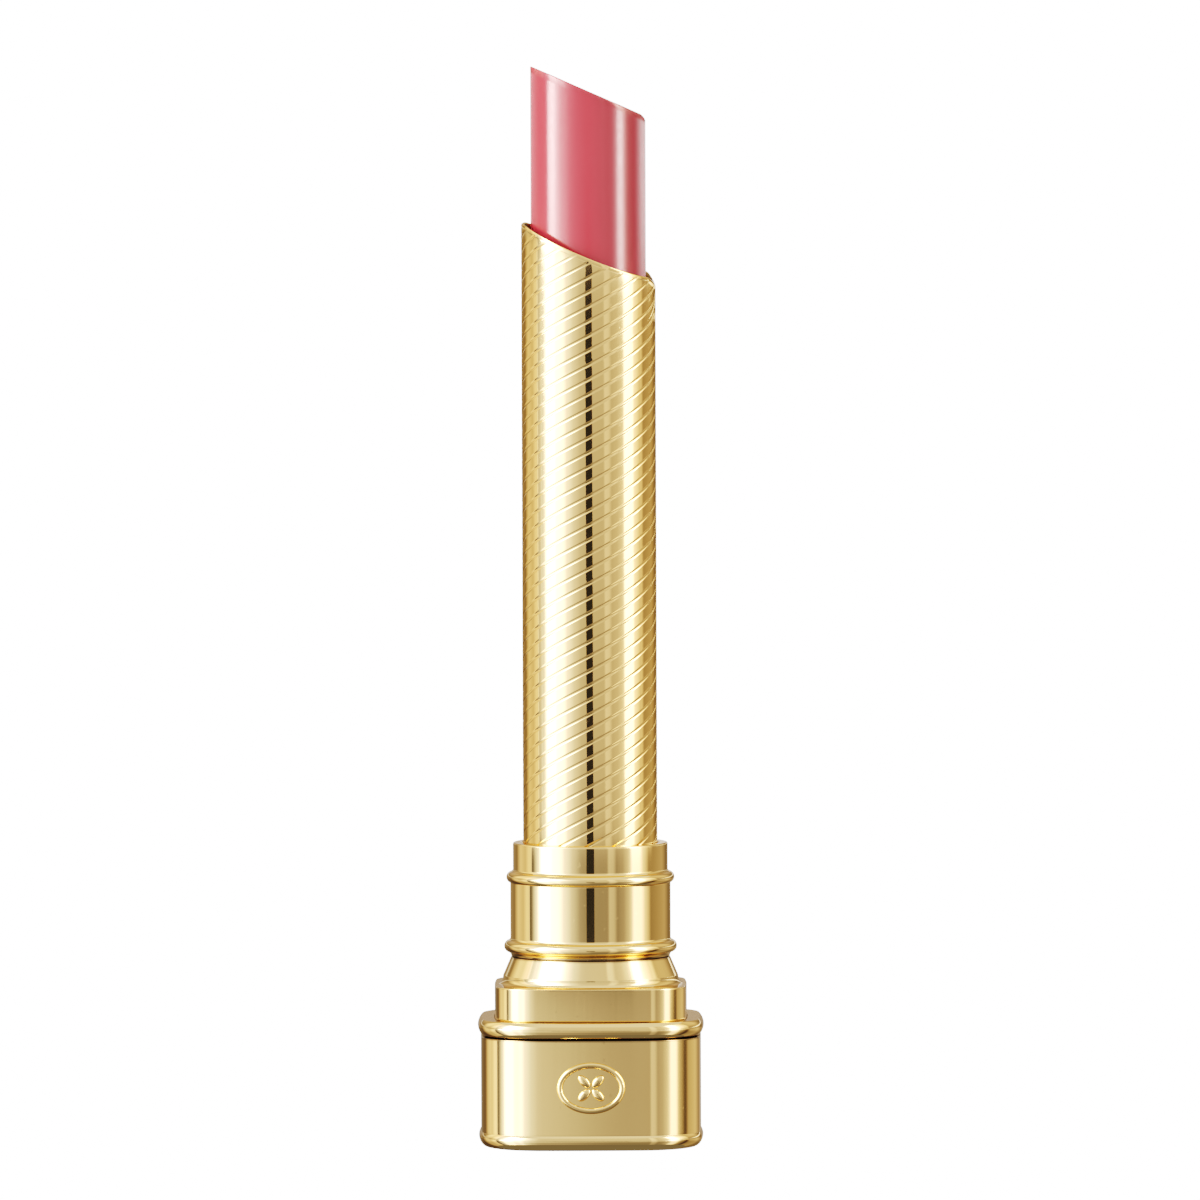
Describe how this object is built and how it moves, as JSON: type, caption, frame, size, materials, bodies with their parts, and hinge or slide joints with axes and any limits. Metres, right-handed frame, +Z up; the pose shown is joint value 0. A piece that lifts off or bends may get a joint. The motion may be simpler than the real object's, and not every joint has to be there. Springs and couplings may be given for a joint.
{
  "type": "lipstick case",
  "caption": "Lipstick wound up out of a slim tube with fine spiral grooves, on a round beaded neck and a square weighted base; turning the tube winds the lipstick down.",
  "frame": {"origin": "middle of the underside of the base, on the surface it stands on", "axes": "+Z up along the tube, -Y out of the front face with the emblem, -X to the high side of the slanted mouth"},
  "size_m": [0.0188, 0.0189, 0.09],
  "materials": {
    "gold_metal": "polished, lacquered pale gold",
    "gold_trim": "polished, lacquered pale gold",
    "gold_tube": "polished pale gold with fine spiral grooves",
    "core_plastic": "moulded, satin",
    "weight_steel": "zinc plated",
    "plate_metal": "satin gold",
    "label_paper": "blank, matt",
    "screw_plastic": "moulded acetal",
    "bush_plastic": "moulded acetal",
    "washer_plastic": "slippery white plastic",
    "guide_plastic": "moulded, dark",
    "ring_rubber": "soft silicone",
    "clip_steel": "spring steel",
    "carrier_plastic": "moulded acetal",
    "pin_steel": "ground",
    "cup_metal": "anodised, satin",
    "lipstick": "waxy rose, soft shine"
  },
  "bodies": {
    "base": {"base_shell": "gold_metal", "base_bead_ring": "gold_trim", "shoulder_block": "gold_metal", "neck_collar": "gold_trim", "base_core": "core_plastic", "base_weight": "weight_steel", "bottom_plate": "plate_metal", "base_label": "label_paper", "spindle": "screw_plastic", "bearing_bush": "bush_plastic", "thrust_washer": "washer_plastic"},
    "tube": {"outer_tube": "gold_tube", "guide_tube": "guide_plastic", "brake_ring_lower": "ring_rubber", "brake_ring_upper": "ring_rubber", "retaining_clip": "clip_steel"},
    "carrier": {"carrier": "carrier_plastic", "follower_pin_left": "pin_steel", "follower_pin_right": "pin_steel", "bullet_cup": "cup_metal", "bullet": "lipstick"}
  },
  "joints": [
    {"name": "twist", "type": "hinge", "parent": "base", "child": "tube", "pos_m": [0, 0, 0.02], "axis": [0, 0, 1], "range_deg": [-360, 0]},
    {"name": "lift", "type": "slide", "parent": "tube", "child": "carrier", "axis": [0, 0, 1], "range_m": [-0.0144, 0]}
  ],
  "couplings": [
    {"joint": "lift", "follows": "twist", "m_per_rad": 0.0022918}
  ]
}
